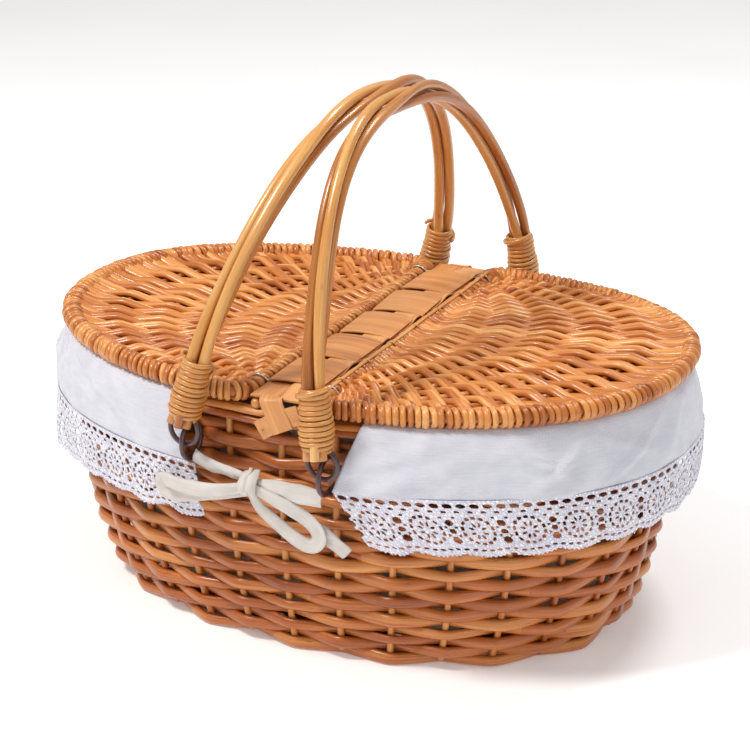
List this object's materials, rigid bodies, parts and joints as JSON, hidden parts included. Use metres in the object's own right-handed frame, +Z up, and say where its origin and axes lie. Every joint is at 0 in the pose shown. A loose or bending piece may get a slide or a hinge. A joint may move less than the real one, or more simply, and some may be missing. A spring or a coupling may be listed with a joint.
{
  "type": "picnic basket",
  "caption": "Oval woven willow picnic basket with hinged lids on a central bridge, swinging twisted-rod handles on wire rings, and a cloth liner with lace trim and tied bows.",
  "frame": {"origin": "middle of the base, on the surface the basket stands on", "axes": "+X along the long axis towards the right lid, -Y towards the front, +Z up"},
  "size_m": [0.4112, 0.3186, 0.3211],
  "materials": {
    "willow": "stained and varnished willow, satin",
    "light_willow": "lighter varnished willow, satin",
    "splint_wood": "flat varnished splint, satin",
    "cotton": "plain off-white cotton, matt",
    "lace": "white cotton crochet lace, matt",
    "ribbon": "cream woven tape, matt",
    "dark_wire": "dark brown coated wire, glossy",
    "steel_wire": "dull steel wire"
  },
  "bodies": {
    "basket": {"base": "willow", "bow_knot_back": "ribbon", "bow_knot_front": "ribbon", "bow_loop_left_back": "ribbon", "bow_loop_left_front": "ribbon", "bow_loop_right_back": "ribbon", "bow_loop_right_front": "ribbon", "bow_tail_back": "ribbon", "bow_tail_front": "ribbon", "bow_tie_left_back": "ribbon", "bow_tie_left_front": "ribbon", "bow_tie_right_back": "ribbon", "bow_tie_right_front": "ribbon", "bridge_cross_1": "splint_wood", "bridge_cross_2": "splint_wood", "bridge_cross_3": "splint_wood", "bridge_cross_4": "splint_wood", "bridge_cross_5": "splint_wood", "bridge_rail_left": "light_willow", "bridge_rail_right": "light_willow", "bridge_splint_left": "splint_wood", "bridge_splint_right": "splint_wood", "bridge_tail_back": "splint_wood", "bridge_tail_front": "splint_wood", "hinge_loop_left_back": "steel_wire", "hinge_loop_left_front": "steel_wire", "hinge_loop_right_back": "steel_wire", "hinge_loop_right_front": "steel_wire", "lace_left": "lace", "lace_right": "lace", "liner_bag": "cotton", "liner_flap_left": "cotton", "liner_flap_right": "cotton", "rim_border": "willow", "ring_lower_left_back": "dark_wire", "ring_lower_left_front": "dark_wire", "ring_lower_right_back": "dark_wire", "ring_lower_right_front": "dark_wire", "side_wall": "willow"},
    "lid_left": {"lid_left_rim": "light_willow", "lid_left_hinge_bar": "light_willow", "lid_left_panel": "willow"},
    "handle_left": {"handle_left_rod_1": "light_willow", "handle_left_rod_2": "light_willow", "handle_left_rod_3": "light_willow", "handle_left_binding_front": "light_willow", "handle_left_binding_back": "light_willow", "ring_upper_left_front": "dark_wire", "ring_upper_left_back": "dark_wire"},
    "lid_right": {"lid_right_rim": "light_willow", "lid_right_hinge_bar": "light_willow", "lid_right_panel": "willow"},
    "handle_right": {"handle_right_rod_1": "light_willow", "handle_right_rod_2": "light_willow", "handle_right_rod_3": "light_willow", "handle_right_binding_front": "light_willow", "handle_right_binding_back": "light_willow", "ring_upper_right_front": "dark_wire", "ring_upper_right_back": "dark_wire"}
  },
  "joints": [
    {"name": "lid_left_hinge", "type": "hinge", "parent": "basket", "child": "lid_left", "pos_m": [-0.0232, 0, 0.1645], "axis": [0, 1, 0], "range_deg": [0, 63]},
    {"name": "lid_right_hinge", "type": "hinge", "parent": "basket", "child": "lid_right", "pos_m": [0.0232, 0, 0.1645], "axis": [0, -1, 0], "range_deg": [0, 58]},
    {"name": "handle_left_swing", "type": "hinge", "parent": "basket", "child": "handle_left", "pos_m": [-0.0435, 0, 0.143], "axis": [-0.0727, -0.9974, -0.0033], "range_deg": [0, 104]},
    {"name": "handle_right_swing", "type": "hinge", "parent": "basket", "child": "handle_right", "pos_m": [0.03725, 0, 0.1412], "axis": [0.0149, 0.9995, 0.0291], "range_deg": [0, 80]}
  ]
}
